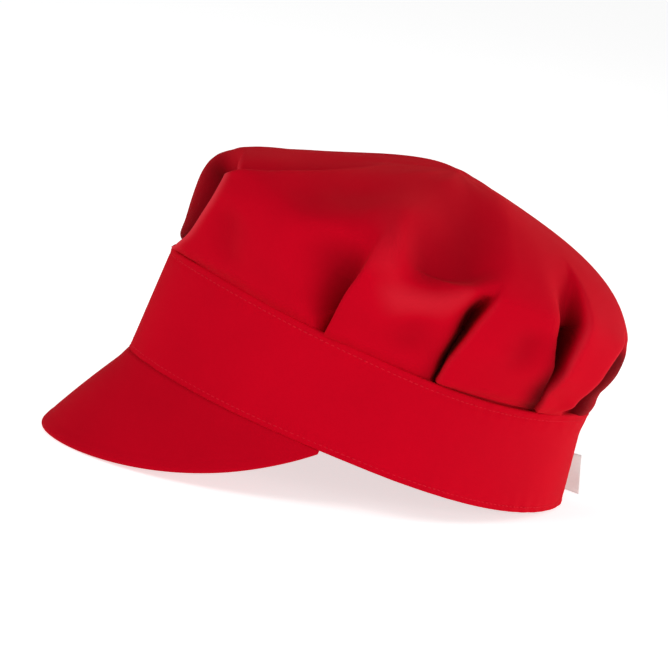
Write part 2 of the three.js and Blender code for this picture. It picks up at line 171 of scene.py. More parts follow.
def groove_and_pucker(phi, distance):
    """Sink of the cloth along a stitch line: a narrow groove, deeper at each stitch, and soft puckers."""
    beat = 0.5 + 0.5 * np.cos(FULL_TURN * phi * STITCH_LINE_RADIUS / STITCH_PITCH)
    pucker = waves(phi, distance, **PUCKERS) * bell(distance, PUCKER_REACH)
    return bell(distance, GROOVE_WIDTH) * (GROOVE_DEPTH + STITCH_PULL * beat) + pucker


def band_relief(phi, s):
    """How far the outer face sinks: long waves, plus the two stitch lines, minus the swells beside
    them. The lower line starts at another angle, so that its puckers differ from the upper one's."""
    low, high = band_heights(phi)
    z = between(low, high, s)
    from_top, from_low = (high - z) - TOP_STITCH_DROP, (z - low) - LOW_STITCH_RISE
    top_swell = TOP_SWELL * bell(from_top + TOP_SWELL_AT, TOP_SWELL_WIDTH)
    low_swell = LOW_SWELL * bell(from_low + LOW_SWELL_AT, LOW_SWELL_WIDTH)
    top_line, low_line = groove_and_pucker(phi, from_top), groove_and_pucker(phi + LINES_APART, from_low)
    return waves(phi, z, **LONG_WAVES) + top_line + low_line + (-top_swell - low_swell)


print("rim at the front", band_point(0.0, 0.0).round(1), "and at the back", band_point(np.pi, 0.0).round(1))

# %% [markdown]
# Every new piece is a closed skin made of rings of points. One helper turns a grid of points into
# faces: neighbours in a ring and in the next ring make one four-sided face. A second one makes sure
# that the faces point outward, by the sign of the volume inside them. A third makes the mesh with
# from_pydata, gives it a UV map in metres so that the weave follows the cloth, and smooths it.

# %% Mesh helpers
def grid_faces(rings, columns, closed_rings):
    """Quads between each ring and the next; the last ring joins the first where closed_rings is true."""
    ring = np.arange(rings if closed_rings else rings - 1)[:, None]
    column = np.arange(columns)[None, :]
    next_ring, next_column = (ring + 1) % rings, (column + 1) % columns
    corners = [ring * columns + column, ring * columns + next_column,
               next_ring * columns + next_column, next_ring * columns + column]
    return np.stack([np.broadcast_to(c, (len(ring), columns)) for c in corners], axis=-1).reshape(-1, 4)


def facing_out(points, faces):
    """The faces, all turned round if they point inward. Each face is a fan of triangles a, b, c, and
    the sum of a . (b x c) over all of them is six times the volume, positive where they point out."""
    fans = np.array([(face[0], b, c) for face in faces for b, c in zip(face[1:-1], face[2:])])
    a, b, c = (points[fans[:, k]] for k in range(3))
    inward = (a * np.cross(b, c)).sum() < 0
    return [face[::-1] for face in faces] if inward else faces


def make_piece(name, points_mm, faces, uv_mm=None, masks=None):
    """A smooth mesh object at the origin, with its place in its mesh. uv_mm becomes a UV map in metres,
    and each mask, a value from 0 to 1 at every point, becomes an attribute of its own name."""
    mesh = bpy.data.meshes.new(name)
    mesh.from_pydata(to_row(points_mm).tolist(), [], faces)
    mesh.polygons.foreach_set("use_smooth", np.ones(len(mesh.polygons), bool))
    if uv_mm is not None:
        loops = np.empty(len(mesh.loops), np.int32)
        mesh.loops.foreach_get("vertex_index", loops)
        layer = mesh.uv_layers.new(name="cloth_metres")
        layer.data.foreach_set("uv", (uv_mm[loops] * MM).astype(np.float32).ravel())
    for mask_name, values in (masks or {}).items():
        layer = mesh.attributes.new(mask_name, "FLOAT", "POINT")
        layer.data.foreach_set("value", np.asarray(values, np.float32).ravel())
    mesh.validate()
    mesh.update()
    piece = bpy.data.objects.new(name, mesh)
    bpy.context.scene.collection.objects.link(piece)
    print(name, len(mesh.vertices), "points", sum(len(f) - 2 for f in faces), "triangles")
    return piece


# %% [markdown]
# The band's section is a tall thin loop with rounded corners: up the outside, over the edge, down the
# inside and back underneath. Laid round the hat at 540 angles, it gives the whole wall. The relief
# fades towards the inner face, which stays smooth.

# %% The band's points
BAND_COLUMNS, OUTER_ROWS, EDGE_ROWS, INNER_ROWS = 540, 40, 7, 12
band_phi = FULL_TURN * np.arange(BAND_COLUMNS) / BAND_COLUMNS


def band_profile():
    """Path round the wall's section as (s, depth): up outside, over the edge, down inside, and under."""
    r, edge_s = BAND_EDGE, BAND_EDGE / BAND_HEIGHT
    turn = np.linspace(0.0, np.pi / 2, EDGE_ROWS)[1:-1]
    rise, fall = np.sin(turn), 1 - np.cos(turn)
    corner = np.stack([1 - edge_s + edge_s * rise, r * fall], axis=-1)
    far_corner = np.stack([corner[::-1, 0], BAND_WALL - corner[::-1, 1]], axis=-1)
    flat = np.array([[1.0, r], [1.0, BAND_WALL / 2], [1.0, BAND_WALL - r]])
    up = np.stack([np.linspace(edge_s, 1 - edge_s, OUTER_ROWS), np.zeros(OUTER_ROWS)], axis=-1)
    down = np.stack([np.linspace(1 - edge_s, edge_s, INNER_ROWS), np.full(INNER_ROWS, BAND_WALL)], axis=-1)
    over = np.concatenate([corner, flat, far_corner])
    under = np.stack([1 - over[::-1, 0], over[::-1, 1]], axis=-1)
    return np.concatenate([up, over, down, under])


profile = band_profile()
band_s, band_depth = profile[:, :1], profile[:, 1:]
outer_share = 1.0 - band_depth / BAND_WALL
relief = band_relief(band_phi[None, :], band_s) * outer_share
band_points = band_point(band_phi[None, :], band_s, band_depth + relief)
print("band rings", band_points.shape)

# %% [markdown]
# The peak is a stiffened visor. Its section starts under the band, runs out and down, turns round a
# thin edge and comes back underneath. Side by side along the front of the rim, the sections make the
# whole visor. The depth falls from the middle to the two tips as (1 - |share|^1.76)^0.98, which gives
# the half-moon outline. The section bulges only a little, because its far outline in the photograph
# is nearly straight. At the seam its upper face rises to the band, as cloth does that is turned in
# there, and no open line is left between the two. Along the free edge it swells over a turned hem.

# %% The peak's points
PEAK_STATIONS, PEAK_STEPS, PEAK_EDGE_STEPS = 161, 34, 9
PEAK_TIP_WALL, PEAK_TIP_DEPTH, PEAK_FULLNESS, PEAK_GAP = 1.0, 1.5, 0.7, 0.05
OUTLINE_POWER, OUTLINE_ROUNDING, TIP_SLOPE, STEP_CROWDING = 1.76, 0.98, 1.7, 0.9
ROOT_LIFT, ROOT_REACH, ROOT_FADE = 0.93, 0.20, 5.0
HEM_SWELL, HEM_AT, HEM_WIDTH, HOLLOW_AT, HOLLOW_WIDTH = 0.10, 2.2, 1.6, 4.6, 1.2
STEP = 1e-3


def peak_section_axes(angle):
    """For each station: the seam point, and the directions out along the visor and up from it."""
    seam = band_point(angle, 0.0, BAND_WALL / 2.0)
    seam[..., 2] -= PEAK_GAP
    tangent = unit(band_point(angle + STEP, 0.0) - band_point(angle - STEP, 0.0))
    out = unit(np.stack([tangent[..., 1], -tangent[..., 0], np.zeros_like(angle)], axis=-1))
    share = angle / np.radians(PEAK_HALF_ANGLE)
    slope = np.radians(PEAK_SLOPE + TIP_SLOPE * share**2)[..., None]
    down = out * np.cos(slope) - UPWARD * np.sin(slope)
    up = out * np.sin(slope) + UPWARD * np.cos(slope)
    return seam, down, up, share


def peak_loop():
    """Path round the section: s along the visor, its height share, 1 on top and 0 below, and beyond,
    the share of half the wall by which the rounded edge stands out past s = 1."""
    s_top = np.linspace(0.0, 1.0, PEAK_STEPS) ** STEP_CROWDING
    turn = np.linspace(0.0, np.pi, PEAK_EDGE_STEPS + 2)[1:-1]
    along = np.concatenate([s_top, np.ones_like(turn), s_top[::-1]])
    height = np.concatenate([np.ones(PEAK_STEPS), 0.5 + 0.5 * np.cos(turn), np.zeros(PEAK_STEPS)])
    beyond = np.concatenate([np.zeros(PEAK_STEPS), np.sin(turn), np.zeros(PEAK_STEPS)])
    return along, height, beyond


def peak_points():
    """seam + down * (s * depth + edge) + up * (bulge + hem + root - wall below the top), for every
    station at once. The root fades as exp(-(distance / ROOT_FADE)^2) away from the seam."""
    share = np.sin(np.linspace(-np.pi / 2, np.pi / 2, PEAK_STATIONS))
    seam, down, up, share = peak_section_axes(np.radians(PEAK_HALF_ANGLE) * share)
    outline = (1 - np.abs(share) ** OUTLINE_POWER) ** OUTLINE_ROUNDING
    depth = between(PEAK_TIP_DEPTH, PEAK_DEPTH, outline)
    fullness = depth / PEAK_DEPTH
    wall = between(PEAK_TIP_WALL, PEAK_WALL, np.minimum(1.0, 2 * fullness))
    along, height, beyond = peak_loop()
    s, d, w, f = along[None, :], depth[:, None], wall[:, None], fullness[:, None]
    root = height[None, :] * bell(s * d, ROOT_FADE) * np.minimum(1.0, 3 * f)
    reach = s * (d - w / 2) + beyond[None, :] * w / 2 + ROOT_REACH * root
    from_edge = (1 - s) * d
    hem = HEM_SWELL * f * (bell(from_edge - HEM_AT, HEM_WIDTH) - bell(from_edge - HOLLOW_AT, HOLLOW_WIDTH))
    bulge = 4 * PEAK_FULLNESS * f * s * (1 - s) + hem * (2 * height[None, :] - 1)
    lift = bulge - w * (1 - height[None, :]) + ROOT_LIFT * root
    return seam[:, None] + down[:, None] * reach[..., None] + up[:, None] * lift[..., None]


peak_grid = peak_points()
print("peak stations", peak_grid.shape)

# %% [markdown]
# Now the hat can be tipped back. The tilt is the one at which the peak's edge and the rim's back are
# equally low, found by halving an interval. The shift that brings the tipped band onto the packed
# band's box then carries every piece from the level drawing, in millimetres, to the frame, in metres.

# %% Tip the hat back onto the table
def tipped(points, tilt):
    """The points turned about the x axis, the front up, by the tilt."""
    c, s = np.cos(tilt), np.sin(tilt)
    x, y, z = points[..., 0], points[..., 1], points[..., 2]
    return np.stack([x, y * c + z * s, z * c - y * s], axis=-1)


def resting_tilt():
    """The tilt that lets the peak and the band touch the same level surface."""
    flat, steep = 0.0, np.pi / 6
    for _ in range(40):
        tilt = (flat + steep) / 2
        if tipped(peak_grid, tilt)[..., 2].min() < tipped(band_points, tilt)[..., 2].min():
            flat = tilt
        else:
            steep = tilt
    return tilt


TILT = resting_tilt()
plain_band = tipped(band_point(band_phi, np.array([[0.0], [1.0]])), TILT)
band_low, band_high = (np.array(corner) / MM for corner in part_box("band"))
PLACE = np.array([
    (band_low[0] + band_high[0]) / 2,
    band_high[1] - plain_band[..., 1].max(),
    band_high[2] - plain_band[..., 2].max(),
])
print("tilt", round(np.degrees(TILT), 2), "degrees, place", PLACE.round(2), "mm")


def to_row(points_mm):
    """Level drawing to row frame, in metres. Cloth that would dip below the table is pressed flat."""
    points = (tipped(points_mm, TILT) + PLACE) * MM
    points[..., 2] = np.maximum(points[..., 2], 0.0)
    return points


# %% [markdown]
# The camera stands where the photograph was taken from: to the wearer's left and a little in front,
# some 1.4 m away, and slightly above the band. It is set out in the level drawing and tipped with
# the hat, so the angle to the hat stays the photograph's while the camera stands above the table.

# %% Camera
CAMERA = {"azimuth": 73.64, "elevation": 7.85, "roll": 21.74, "distance": 1419.6}
CAMERA_AIM = np.array([0.0, -21.55, 37.85])
LENS, SENSOR = 173.17, 36.0


def camera_matrix():
    """World matrix with the camera's right, up and backward directions as columns."""
    azimuth, elevation, roll = (np.radians(CAMERA[k]) for k in ("azimuth", "elevation", "roll"))
    back = np.array([np.sin(azimuth) * np.cos(elevation),
                     -np.cos(azimuth) * np.cos(elevation), np.sin(elevation)])
    right = unit(np.cross(-back, UPWARD))
    up = np.cross(back, right)
    turned_right = right * np.cos(roll) + up * np.sin(roll)
    turned_up = up * np.cos(roll) - right * np.sin(roll)
    place = tipped(CAMERA_AIM + back * CAMERA["distance"], TILT) + PLACE
    axes = [tipped(axis, TILT) for axis in (turned_right, turned_up, back)]
    matrix = np.eye(4)
    matrix[:3, :3] = np.stack(axes, axis=-1)
    matrix[:3, 3] = place * MM
    return Matrix(matrix.tolist())


camera_data = bpy.data.cameras.new("camera")
camera_data.lens, camera_data.sensor_width = LENS, SENSOR
camera = bpy.data.objects.new("camera", camera_data)
bpy.context.scene.collection.objects.link(camera)
camera.matrix_world = camera_matrix()
bpy.context.scene.camera = camera
print("camera height", round(camera.matrix_world.translation.z, 3), "m")

# %% [markdown]
# The crown is one round piece of cloth, pleated all round and sewn inside the top of the band. It is
# made in two steps. The first is the puffed form without folds: a short table of levels, each with
# its reach to the front, to the back and to the side, and a smooth curve through them. The level t
# is 0 at the sewn edge, inside the band, and 1 at the apex. A table like this is easy to fit to a
# photograph, because each number moves one part of the outline and nothing else.

# %% The crown without folds
LEVEL_T = np.array([0.00, 0.06, 0.14, 0.30, 0.48, 0.62, 0.76, 0.90, 1.00])
LEVELS = {
    "front_y": [-98.8, -100.1, -101.4, -102.2, -97.1, -83.5, -58.7, -24.7, 3.0],
    "front_z": [41.5, 50.2, 56.3, 76.3, 93.4, 100.9, 107.9, 118.2, 125.6],
    "back_y": [94.4, 95.8, 98.3, 102.4, 98.8, 86.2, 63.3, 27.9, 3.0],
    "back_z": [37.0, 45.4, 52.1, 68.9, 85.5, 100.2, 111.5, 120.9, 125.6],
    "side_x": [78.4, 79.6, 84.0, 92.6, 91.9, 79.7, 56.2, 24.7, 0.01],
    "side_z": [36.2, 44.6, 50.5, 69.3, 87.0, 99.9, 111.9, 123.4, 125.6],
    "centre": [-2.2, -2.2, -2.0, -1.0, 0.0, 0.0, 1.0, 2.0, 3.0],
    "power": [1.72, 1.72, 1.9, 2.1, 2.2, 2.2, 2.1, 2.0, 2.0],
}


def level(name, t):
    """A column of LEVELS at any t: a cubic between rows, its slopes held in so it never overshoots."""
    values = np.array(LEVELS[name])
    steps = np.diff(LEVEL_T)
    slopes = np.diff(values) / steps
    before, after = slopes[:-1], slopes[1:]
    mean = (steps[1:] * before + steps[:-1] * after) / (steps[1:] + steps[:-1])
    most = 3.0 * np.minimum(np.abs(before), np.abs(after))
    inner = np.where(before * after > 0, np.sign(mean) * np.minimum(np.abs(mean), most), 0.0)
    tangents = np.concatenate([slopes[:1], inner, slopes[-1:]])
    k = np.clip(np.searchsorted(LEVEL_T, t, side="right") - 1, 0, len(steps) - 1)
    u, h = (t - LEVEL_T[k]) / steps[k], steps[k]
    start = values[k] * (1 + 2 * u) * (1 - u) ** 2 + tangents[k] * h * u * (1 - u) ** 2
    end = values[k + 1] * u * u * (3 - 2 * u) - tangents[k + 1] * h * u * u * (1 - u)
    return start + end


def plain_crown(phi, t):
    """Oval of each level, with its own reach in front and behind, and its height by cos squared."""
    in_front = np.cos(phi) > 0
    centre = level("centre", t)
    reach = np.where(in_front, centre - level("front_y", t), level("back_y", t) - centre)
    radius = oval_radius(phi, level("side_x", t), reach, level("power", t))
    side_z = level("side_z", t)
    end_z = np.where(in_front, level("front_z", t), level("back_z", t))
    z = side_z + (end_z - side_z) * np.cos(phi) ** 2
    return np.stack([radius * np.sin(phi), centre - radius * np.cos(phi), z], axis=-1)


def crown_directions(phi, t):
    """The outward normal of the plain form and the direction round it towards the back."""
    round_it = plain_crown(phi + STEP, t) - plain_crown(phi - STEP, t)
    up_it = plain_crown(phi, np.minimum(t + STEP, 1.0)) - plain_crown(phi, t - STEP)
    return unit(np.cross(round_it, up_it)), unit(round_it)


print("widest level", 2 * max(LEVELS["side_x"]), "mm, apex", LEVELS["side_z"][-1], "mm above the rim")

# %% [markdown]
# The second step lays the folds over that form. Each fold is a stroke across the cloth, from a start
# to an end, with its own width on either side. A soft fold only lifts or sinks the cloth, and paints
# shade or a highlight on it. A pleat also slides it sideways, so that the panel behind overlaps the
# panel in front, as a sewn pleat does: both the slide and the height follow tanh across the fold,
# which gives a crisp edge over a slot that is dark in its own shadow and darker still with painted
# shade.
#
# Each row of a table is one fold, and lengths are in millimetres. phi0, t0 and phi1, t1 are the ends
# of its line, in degrees and levels, and bow is how far the line bends aside. front0, back0 and
# front1, back1 are its half widths at the two ends. It grows over the share "grow" of its length and
# fades over the share "fade". In a pleat, side says which way it faces, depth is how far the slot
# sinks, lip how far the folded edge stands up, slide how far the upper cloth is pushed over, and power
# how sharply the slot ends. shade and reach paint shade into the slot, and edge paints a highlight,
# paler cloth, at edge_at from the line. A soft fold has only a lift and a tone, both below 0 for a
# hollow; the tone is painted shade below 0 and a painted highlight above 0.

# %% The folds
CLOTH_PER_T = 115.0
RECESS_RISE, LIP_RISE = (0.035, 0.075), (0.05, 0.105)
SEAM_ROLL, ROLL_RISE, ROLL_FALL = 2.2, (0.041, 0.065), (0.09, 0.20)
FAR_SHIFT = 2.0
CREASE, LEAST_WIDTH = 1.3, 1.2
SLIDE_LOSS, SLIDE_FALL = 0.75, (0.25, 0.8)
# How painted shade rises across a slot, and how wide the painted highlight along a lip is.
SHADE_RISE = (0.08, 0.45)
EDGE_WIDTH, EDGE_SPREAD = 1.3, 0.3

# shade, reach, edge and edge_at: painted shade in each slot and a painted highlight along its lip.
PLEAT_COLUMNS = ("side", "phi0", "t0", "phi1", "t1", "bow", "depth", "lip", "slide", "front0", "back0",
                 "front1", "back1", "power", "grow", "fade", "shade", "reach", "edge", "edge_at")
SIDE_PLEATS = [
    (1, 57, 0.02, 63, 0.60, 2.5, 12, 2, 6, -2, 9, 46, 12, 2, 0.08, 0.60, 0.45, 0, 0, 1.2),
    (1, 96, 0.02, 99, 0.57, -4, 16, 1.5, 9, 2, 12, 11, 12, 2, 0.08, 0.38, 0.95, 7, 0.1, 1.2),
    (1, 138, 0.02, 137, 0.74, -19, 17, 2, 6, -3, 9, 18, 12, 3, 0.06, 0.40, 0.95, 10, 0.2, 1.2),
    (-1, 144, 0.10, 156, 0.50, -14, 16, 3, 7, 12, 12, 14, 14, 3, 0.10, 0.30, 1, 34, 0.3, 1.8),
]
FRONT_PLEATS = [
    (1, -4, 0.02, -11.5, 0.60, 38, 19, 3.5, 14, 20, 16, 28, 20, 3, 0.08, 0.35, 1, 40, 0.65, 3.4),
    (1, 14, 0.42, 7, 0.88, 13, 8, 2, 1, 20, 12, 20, 12, 2, 0.15, 0.35, 0.2, 0, 0.8, 0),
]
# The last column is painted light: painted shade below 0, a painted highlight above 0.
SOFT_COLUMNS = ("phi0", "t0", "phi1", "t1", "bow", "lift", "front0", "back0", "front1", "back1",
                "grow", "fade", "painted_light")
SOFT_FOLDS = [
    (67, 0.36, 67, 0.86, 0, 5, 8, 8, 12, 12, 0.20, 0.40, 0.10),
    (66, 0.32, 98, 0.55, 5, 3, 7, 8, 8, 10, 0.20, 0.30, 0.22),
    (69, 0.43, 106, 0.69, 3, -7.5, 24, 7, 46, 9, 0.34, 0.36, -0.38),
    (112, 0.18, 112, 0.46, 0, -2, 8, 8, 8, 8, 0.40, 0.40, -0.20),
    (36, 0.34, 60, 0.58, 0, 2, 9, 9, 9, 9, 0.35, 0.40, 0.06),
    (30, 0.52, 60, 0.78, 0, -2.5, 16, 16, 16, 16, 0.35, 0.35, -0.10),
    (23, 0.12, 25, 0.38, 0, -2.5, 7, 7, 7, 7, 0.40, 0.40, -0.15),
    (84, 0.14, 78, 0.34, 0, -1, 9, 9, 9, 9, 0.40, 0.40, -0.15),
]


def far_side(row):
    """The same pleat on the other side of the hat, mirrored and a little further round."""
    fold = dict(zip(PLEAT_COLUMNS, row))
    turned = {key: -fold[key] - FAR_SHIFT for key in ("phi0", "phi1")}
    return {**fold, **turned, "side": -fold["side"], "bow": -fold["bow"]}


pleats = [dict(zip(PLEAT_COLUMNS, row)) for row in SIDE_PLEATS + FRONT_PLEATS]
pleats += [far_side(row) for row in SIDE_PLEATS]
soft_folds = [dict(zip(SOFT_COLUMNS, row)) for row in SOFT_FOLDS]
print(len(pleats), "pleats and", len(soft_folds), "soft folds")

# %% [markdown]
# A fold is worked out in its own directions, u along its line and v across it, over the cloth laid
# flat. That is easier than thinking in angles, because the widths then stay in millimetres all the
# way up, where the crown narrows.

# %% The shape of one fold
def line_end(fold):
    """The end of a fold's line seen from its start, in mm over the cloth, and the line's length."""
    end_x = float(level("side_x", np.array(fold["t1"]))) * np.radians(fold["phi1"] - fold["phi0"])
    end_y = CLOTH_PER_T * (fold["t1"] - fold["t0"])
    return end_x, end_y, np.hypot(end_x, end_y)


def stroke(fold, phi, t):
    """Share u along a fold's line, and distance v across it in mm, positive on its raised side."""
    turn = np.degrees(phi) - fold["phi0"]
    x = level("side_x", t) * np.radians(turn - 360.0 * np.round(turn / 360.0))
    y = CLOTH_PER_T * (t - fold["t0"])
    end_x, end_y, length = line_end(fold)
    u = (x * end_x + y * end_y) / length**2
    v = (x * end_y - y * end_x) / length - 4 * fold["bow"] * u * (1 - u)
    strength = smooth(u, 0.0, fold["grow"]) * (1 - smooth(u, 1 - fold["fade"], 1.0))
    return np.clip(u, 0.0, 1.0), v * fold.get("side", 1), strength * (u > 0) * (u < 1)


def side_width(fold, u, v):
    """The fold's half width at each point: its own on the front side and on the back side."""
    front = between(fold["front0"], fold["front1"], u)
    back = between(fold["back0"], fold["back1"], u)
    return np.maximum(np.where(v < 0, front, back), LEAST_WIDTH)


def pleat_shape(fold, phi, t):
    """Lift, slide and painted light of one pleat. The lift and the slide follow tanh(v / CREASE), under a
    bell that fades sideways. The painted light is painted shade, -shade, deep in the sunk side, and a
    painted highlight, edge, along the folded lip. The slide grows less along the line, where the fold
    closes."""
    u, v, strength = stroke(fold, phi, t)
    share = np.abs(v) / side_width(fold, u, v)
    envelope = np.exp(-(share ** np.where(v < 0, fold["power"], 2))) * strength
    fall = np.tanh(v / CREASE)
    begun = smooth(t, *RECESS_RISE)
    recess = -fold["depth"] * (1 - fall) / 2 * envelope * begun
    lip = fold["lip"] * (1 + fall) / 2 * envelope * smooth(t, *LIP_RISE)
    closing = 1 - SLIDE_LOSS * smooth(u, *SLIDE_FALL)
    slide = -0.5 * fold["side"] * fold["slide"] * fall * envelope * closing * begun
    # Painted shade deep in the slot, and a painted highlight along the folded lip.
    dark_span = np.abs(v) / fold["reach"] if fold["reach"] else share
    dark = smooth((1 - fall) / 2, *SHADE_RISE) * np.exp(-(dark_span ** fold["power"])) * strength * begun
    lip_highlight = bell(v - fold["edge_at"], EDGE_WIDTH + EDGE_SPREAD * fold["edge_at"])
    painted_light = fold["edge"] * lip_highlight * strength - fold["shade"] * dark
    return recess + lip, slide, painted_light


def soft_shape(fold, phi, t):
    """Lift and painted light of one soft fold, painted shade below 0 and a painted highlight above: a bell
    across its line.
    """
    u, v, strength = stroke(fold, phi, t)
    share = strength * bell(v, side_width(fold, u, v))
    return fold["lift"] * share, fold["painted_light"] * share


# %% [markdown]
# All folds add up. Between them the cloth is never quite even, so two sets of small waves are added,
# slow ones all over and quick ones just above the band, where the gathers press on each other.

# %% The crown's surface
LOOSE_WAVES = {"count": 9, "turns": (3, 14), "height": 60.0, "amplitude": 0.35, "seed": 11}
GATHER_WAVES = {"count": 8, "turns": (40, 90), "height": 30.0, "amplitude": 0.2, "seed": 12}
GATHER_AT, CALM_TOP, BACK_LAG = 0.07, (0.85, 1.0), 0.02


def crown_surface(phi, t):
    """The plain form, moved along its normal by all lifts and round the hat by all slides, and its
    painted light: -1 is painted shade deep in a fold, 1 a painted highlight along a folded lip. Just
    above the band the cloth rolls out, flush with the band's outer face."""
    soft = waves(phi, CLOTH_PER_T * t, **LOOSE_WAVES) * (1 - smooth(t, *CALM_TOP))
    soft = soft + waves(phi, CLOTH_PER_T * t, **GATHER_WAVES) * bell(t - GATHER_AT, GATHER_AT)
    painted_light = np.zeros(phi.shape)
    for fold in soft_folds:
        one_lift, one_painted_light = soft_shape(fold, phi, t)
        soft, painted_light = soft + one_lift, painted_light + one_painted_light
    risen = smooth(t - BACK_LAG * beside_back(phi), *ROLL_RISE) * (1 - smooth(t, *ROLL_FALL))
    roll = (SEAM_ROLL + back_flare(phi, 1.0)) * risen
    lift, slide = soft * smooth(t, *LIP_RISE) + roll, np.zeros(phi.shape)
    for fold in pleats:
        one_lift, one_slide, one_painted_light = pleat_shape(fold, phi, t)
        lift, slide, painted_light = lift + one_lift, slide + one_slide, painted_light + one_painted_light
    outward, backward = crown_directions(phi, t)
    points = plain_crown(phi, t) + outward * lift[..., None] + backward * slide[..., None]
    return points, np.clip(painted_light, -1.0, 1.0)


sample, _ = crown_surface(np.radians([0.0, 90.0, 180.0]), np.full(3, 0.3))
print("crown in front, at the side and behind, at level 0.3:", sample.round(1).tolist())

# %% [markdown]
# A pleat is only a few millimetres wide, so the grid is fine beside each pleat and coarse between.
# The columns follow the pleats as they lean: a column that starts on a pleat stays on it all the way
# up. The inner face is the outer one moved in by the cloth's thickness, on every other row and column.

# %% The crown's points
CROWN_ROWS, CROWN_COLUMNS, CLOTH_THICKNESS = 121, 440, 0.9
FIRST_ROW, LAST_ROW, ROW_CROWDING = 0.02, 0.985, 1.06
COLUMN_CROWDING, CROWD_WIDTH, FINE_ANGLES, LINE_STEPS = 8.0, 4.5, 7201, 41
LEAN_TOP, LEAN_EASE = 0.44, 0.06


def line_angles(fold, t):
    """Angle of a fold's line at each t: the line is laid out point by point, then read off at t."""
    end_x, end_y, length = line_end(fold)
    u = np.linspace(0.0, 1.0, LINE_STEPS)
    aside = 4 * fold["bow"] * u * (1 - u)
    at = fold["t0"] + (u * end_y - aside * end_x / length) / CLOTH_PER_T
    angles = fold["phi0"] + np.degrees((u * end_x + aside * end_y / length) / level("side_x", at))
    return np.interp(t, at, angles)


leading = sorted((fold for fold in pleats if fold["t0"] < 0.05), key=lambda fold: fold["phi0"])


def lean(starts, t):
    """How far columns that start at these angles have leant at one t: each follows the leading pleats
    beside it, and eases into going straight on above LEAN_TOP."""
    low = -LEAN_EASE * np.logaddexp(-t / LEAN_EASE, -LEAN_TOP / LEAN_EASE)
    knots = [-180.0] + [fold["phi0"] for fold in leading] + [180.0]
    leans = [0.0] + [float(line_angles(fold, low)) - fold["phi0"] for fold in leading] + [0.0]
    return np.interp(starts, knots, leans)


def column_starts():
    """Angles of the columns at the band, crowded where a column meets the middle of a pleat."""
    fine = np.linspace(-180.0, 180.0, FINE_ANGLES)
    density = np.ones(fine.shape)
    for fold in pleats:
        t = (fold["t0"] + fold["t1"]) / 2
        start = fine[np.argmin(np.abs(fine + lean(fine, t) - line_angles(fold, t)))]
        apart = np.abs((fine - start + 180.0) % 360.0 - 180.0)
        density += COLUMN_CROWDING * bell(apart, CROWD_WIDTH)
    shares = np.concatenate([[0.0], np.cumsum((density[1:] + density[:-1]) / 2)])
    return np.interp(np.arange(CROWN_COLUMNS) / CROWN_COLUMNS, shares / shares[-1], fine)


rows_t = between(FIRST_ROW, LAST_ROW, np.linspace(0.0, 1.0, CROWN_ROWS) ** ROW_CROWDING)
starts = column_starts()
crown_phi = np.radians([starts + lean(starts, t) for t in rows_t])
crown_t = np.broadcast_to(rows_t[:, None], crown_phi.shape)
outer, painted_light = crown_surface(crown_phi, crown_t)


def grid_normals(points):
    """Normal at each grid point from its neighbours; the columns wrap round."""
    round_it = np.roll(points, -1, axis=1) - np.roll(points, 1, axis=1)
    up_it = np.gradient(points, axis=0)
    return unit(np.cross(round_it, up_it))


inner = (outer - CLOTH_THICKNESS * grid_normals(outer))[::2, ::2]
print("crown grid", outer.shape, "inner", inner.shape)

# %% [markdown]
# The two faces are joined along the hidden edge inside the band, and a fan of triangles closes each
# at the apex. The UV map is the flat round cut itself, so the weave runs straight across it, as it
# does in a cap cut from one piece. The painted light is stored twice, as one mask of painted shade for
# the deep folds and one of painted highlight for the folded lips, because a mask goes from 0 to 1 and
# the material reads each for one colour.

# %% The crown's mesh
def crown_faces():
    """Outer quads, inner quads turned round, five-sided faces along the hidden edge, and two caps."""
    wide, narrow = CROWN_COLUMNS, CROWN_COLUMNS // 2
    first_inner = CROWN_ROWS * wide
    inner_rows = inner.shape[0]
    outer_faces = grid_faces(CROWN_ROWS, wide, False).tolist()
    inner_faces = (grid_faces(inner_rows, narrow, False)[:, ::-1] + first_inner).tolist()
    apex_point = first_inner + inner_rows * narrow
    under_point = apex_point + 1
    top, top_inner = (CROWN_ROWS - 1) * wide, first_inner + (inner_rows - 1) * narrow
    hidden_edge = [[first_inner + j, first_inner + (j + 1) % narrow, (2 * j + 2) % wide, 2 * j + 1, 2 * j]
                   for j in range(narrow)]
    cap = [[top + i, top + (i + 1) % wide, apex_point] for i in range(wide)]
    cap_inner = [[under_point, top_inner + (j + 1) % narrow, top_inner + j] for j in range(narrow)]
    return outer_faces + inner_faces + hidden_edge + cap + cap_inner


apex = plain_crown(np.array(0.0), np.array(1.0))
crown_points = np.concatenate([
    outer.reshape(-1, 3), inner.reshape(-1, 3), [apex], [apex - CLOTH_THICKNESS * UPWARD]])


def crown_uv(phi, points):
    """The flat round cut: distance from the apex along the cloth, laid out at the angle phi."""
    steps = np.linalg.norm(np.diff(points, axis=0), axis=-1)
    from_top = np.concatenate([np.cumsum(steps[::-1], axis=0)[::-1], np.zeros((1, points.shape[1]))])
    return np.stack([from_top * np.sin(phi), -from_top * np.cos(phi)], axis=-1)


outer_uv = crown_uv(crown_phi, plain_crown(crown_phi, crown_t))
crown_uv_mm = np.concatenate([outer_uv.reshape(-1, 2), outer_uv[::2, ::2].reshape(-1, 2), np.zeros((2, 2))])
crown_painted_light = np.concatenate([painted_light.ravel(), painted_light[::2, ::2].ravel(), [0.0, 0.0]])
# Masks of painted shade in the folds and of painted highlight along their lips.
crown_masks = {"fold_shade": np.clip(-crown_painted_light, 0, 1), "painted_highlight": np.clip(crown_painted_light, 0, 1)}
crown = make_piece("crown_cloth", crown_points, crown_faces(), crown_uv_mm, crown_masks)

# %% [markdown]
# The band goes all the way round, so its last ring joins its first. The peak ends in two tips, so its
# first and its last ring are each filled with one face.

